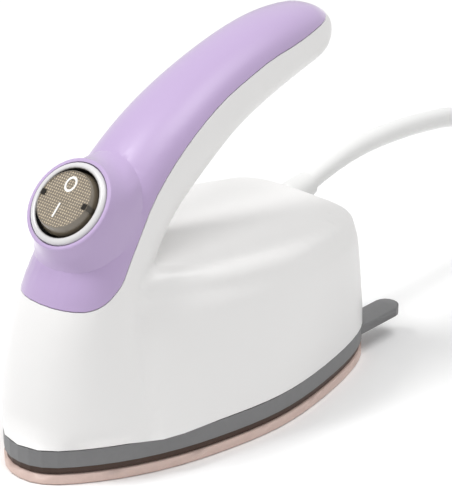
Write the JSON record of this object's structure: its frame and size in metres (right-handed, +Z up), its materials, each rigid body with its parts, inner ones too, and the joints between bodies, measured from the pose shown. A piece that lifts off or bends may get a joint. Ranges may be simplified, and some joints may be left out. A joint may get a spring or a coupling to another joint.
{
  "type": "handheld heat press",
  "caption": "Small hand-held press with a heated boat-shaped sole, a round rocker switch on the front column, an open-ended handle and a mains lead.",
  "frame": {"origin": "on the surface under the middle of the bounding box of the press without its free lead, coil, tie and plug", "axes": "+X across the sole, +Y from the nose to the heel, +Z up"},
  "size_m": [0.1056, 0.3267, 0.1032],
  "materials": {
    "white_plastic": "satin white moulding",
    "lavender_plastic": "satin lavender moulding",
    "grey_plastic": "matt grey heat-resisting moulding",
    "brown_rubber": "dark brown, slightly glossy",
    "rose_coating": "cast aluminium with a satin rose-coloured non-stick coating",
    "bezel_plastic": "warm white, glossy",
    "smoked_plastic": "smoked clear, with a fine pyramid texture",
    "black_plastic": "black moulding",
    "cord_plastic": "white flexible sheath",
    "steel": "plated steel",
    "aluminium": "plain sheet",
    "brass": "plain",
    "ceramic": "unglazed",
    "glass_fibre": "felted glass fibre",
    "glass": "clear, faintly amber",
    "brown_lead": "brown insulation",
    "blue_lead": "blue insulation",
    "green_lead": "green insulation"
  },
  "bodies": {
    "press": {"base_band": "grey_plastic", "body_housing": "white_plastic", "clamp_screw_1": "steel", "clamp_screw_2": "steel", "coil_tie": "black_plastic", "cord_clamp": "black_plastic", "cord_coil": "cord_plastic", "cord_run": "cord_plastic", "cover_screw_1": "steel", "cover_screw_2": "steel", "earth_screw": "steel", "earth_tag": "brass", "element_pin_left": "steel", "element_pin_right": "steel", "fuse_clip": "steel", "handle_cover": "lavender_plastic", "heat_plate": "rose_coating", "heat_shield": "aluminium", "heating_element": "steel", "housing_screw_front": "steel", "housing_screw_rear": "steel", "insulation_pad": "glass_fibre", "lead_earth": "green_lead", "lead_fuse_front": "brown_lead", "lead_fuse_rear": "brown_lead", "lead_heater": "blue_lead", "lead_lamp": "blue_lead", "lead_live": "brown_lead", "lead_neutral": "blue_lead", "lead_switched": "brown_lead", "plate_screw_1": "steel", "plate_screw_2": "steel", "plate_screw_3": "steel", "plate_screw_4": "steel", "plug_blade_left": "brass", "plug_blade_right": "brass", "plug_body": "cord_plastic", "plug_earth_pin": "brass", "press_plate": "steel", "press_screw_1": "steel", "press_screw_2": "steel", "sole_gasket": "brown_rubber", "splice_cap": "white_plastic", "strain_relief": "cord_plastic", "switch_body": "bezel_plastic", "terminal_lamp": "brass", "terminal_live_in": "brass", "terminal_live_out": "brass", "thermal_fuse": "ceramic", "thermostat": "black_plastic", "thermostat_tab_front": "brass", "thermostat_tab_rear": "brass"},
    "rocker": {"switch_rocker": "smoked_plastic", "switch_plunger": "black_plastic", "plunger_spring": "steel", "neon_lamp": "glass"},
    "contact": {"rocking_contact": "brass"}
  },
  "joints": [
    {"name": "rocker_hinge", "type": "hinge", "parent": "press", "child": "rocker", "pos_m": [0, -0.04395, 0.07012], "axis": [1, 0, 0], "range_deg": [0, 14]},
    {"name": "contact_hinge", "type": "hinge", "parent": "press", "child": "contact", "pos_m": [0, -0.0386, 0.0653], "axis": [1, 0, 0], "range_deg": [-12, 0]}
  ],
  "couplings": [
    {"joint": "contact_hinge", "follows": "rocker_hinge", "ratio": -0.857}
  ]
}
